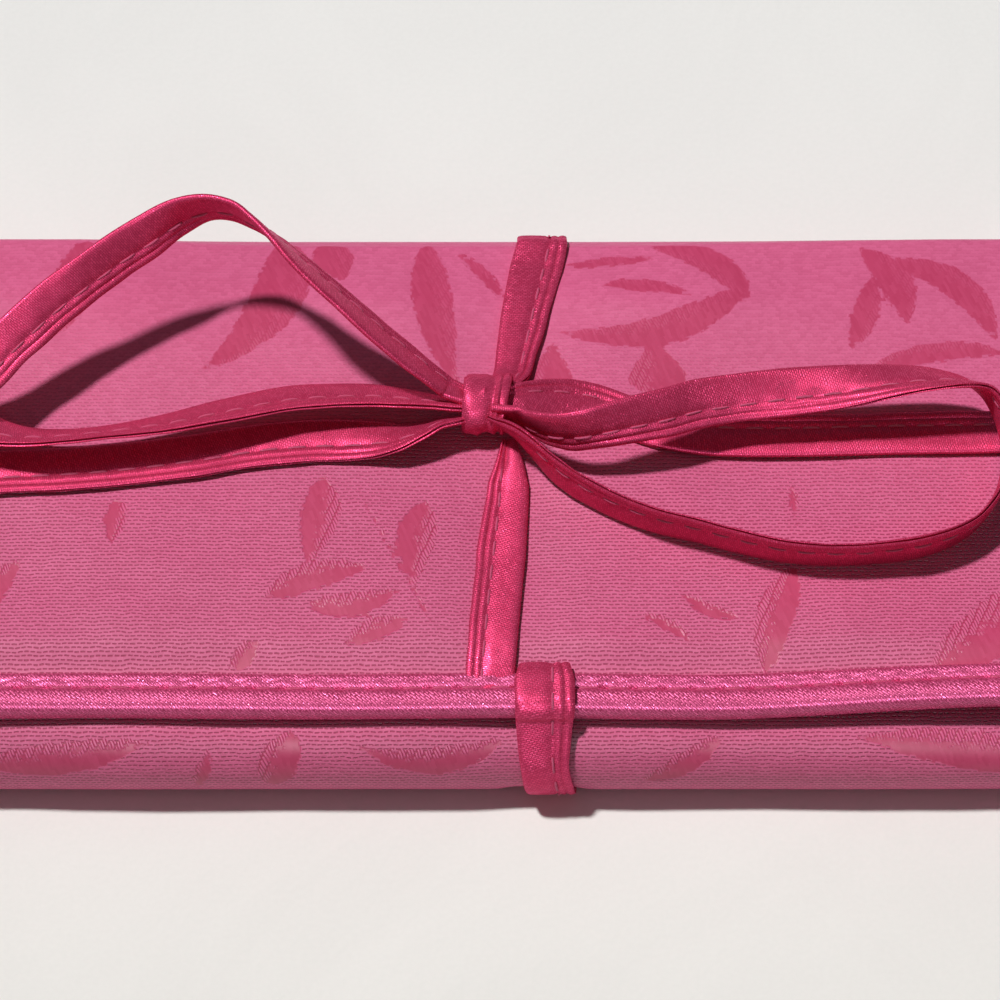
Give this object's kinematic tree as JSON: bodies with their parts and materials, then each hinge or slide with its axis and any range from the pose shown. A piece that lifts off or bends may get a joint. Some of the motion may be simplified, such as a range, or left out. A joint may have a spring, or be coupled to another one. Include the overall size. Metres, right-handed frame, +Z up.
{
  "type": "jewelry pouch",
  "caption": "Padded brocade jewelry pouch with a fold-over flap, slip pocket and zipped inner pocket, tied shut with a satin bow.",
  "frame": {"origin": "middle of the closed pouch's underside, on the surface it lies on", "axes": "+X along the front fold to the right as seen from the flap's bound edge, +Y to the spine at the back, +Z up through the flap and the bow"},
  "size_m": [0.19, 0.0784, 0.0361],
  "materials": {
    "brocade": "magenta silk-type brocade with tone-on-tone leaves",
    "binding": "satin bias strip",
    "tie": "satin, sewn into a flat tube",
    "lining": "plain satin",
    "wadding": "soft polyester wadding",
    "zip_cloth": "woven zip tape with moulded teeth",
    "zip_metal": "polished"
  },
  "bodies": {
    "base": {"base_brocade": "brocade", "base_wadding": "wadding", "base_lining": "lining", "zip_pocket_backing": "lining", "base_binding_left": "binding", "base_binding_right": "binding", "mouth_binding": "binding", "rear_lower_fold": "brocade", "zip_front_tape": "zip_cloth", "zip_rear_tape": "zip_cloth", "zip_bottom_stop": "zip_metal", "tie_under_band": "tie"},
    "spine": {"spine_brocade": "brocade", "spine_wadding": "wadding", "spine_lining": "lining", "spine_binding_left": "binding", "spine_binding_right": "binding", "rear_upper_fold": "brocade", "tie_rear_band": "tie"},
    "flap": {"flap_brocade": "brocade", "flap_wadding": "wadding", "flap_lining": "lining", "flap_front_binding": "binding", "flap_binding_left": "binding", "flap_binding_right": "binding", "tie_short_strand": "tie", "tie_edge_fold": "tie", "tie_front_band": "tie", "tie_top_strand": "tie", "bow_knot": "tie", "bow_loop_left": "tie", "bow_loop_right": "tie", "bow_tail_left": "tie", "bow_tail_right": "tie"},
    "zip_slider": {"zip_slider": "zip_metal"},
    "zip_pull": {"zip_pull": "zip_metal"}
  },
  "joints": [
    {"name": "spine_open", "type": "hinge", "parent": "base", "child": "spine", "pos_m": [0, 0.0351, 0.0029], "axis": [-1, 0, 0], "range_deg": [0, 90], "deforming": ["rear_lower_fold", "tie_rear_band"]},
    {"name": "flap_open", "type": "hinge", "parent": "spine", "child": "flap", "pos_m": [0, 0.0351, 0.0126], "axis": [-1, 0, 0], "range_deg": [0, 90], "deforming": ["rear_upper_fold", "tie_front_band"]},
    {"name": "zip_slide", "type": "slide", "parent": "base", "child": "zip_slider", "axis": [-1, 0, 0], "range_m": [0, 0.112], "deforming": ["zip_front_tape", "zip_rear_tape"]},
    {"name": "pull_swing", "type": "hinge", "parent": "zip_slider", "child": "zip_pull", "pos_m": [0.0596, 0.0255, 0.0061], "axis": [0, 1, 0], "range_deg": [0, 180]}
  ],
  "couplings": [
    {"joint": "spine_open", "follows": "flap_open", "ratio": 1}
  ]
}
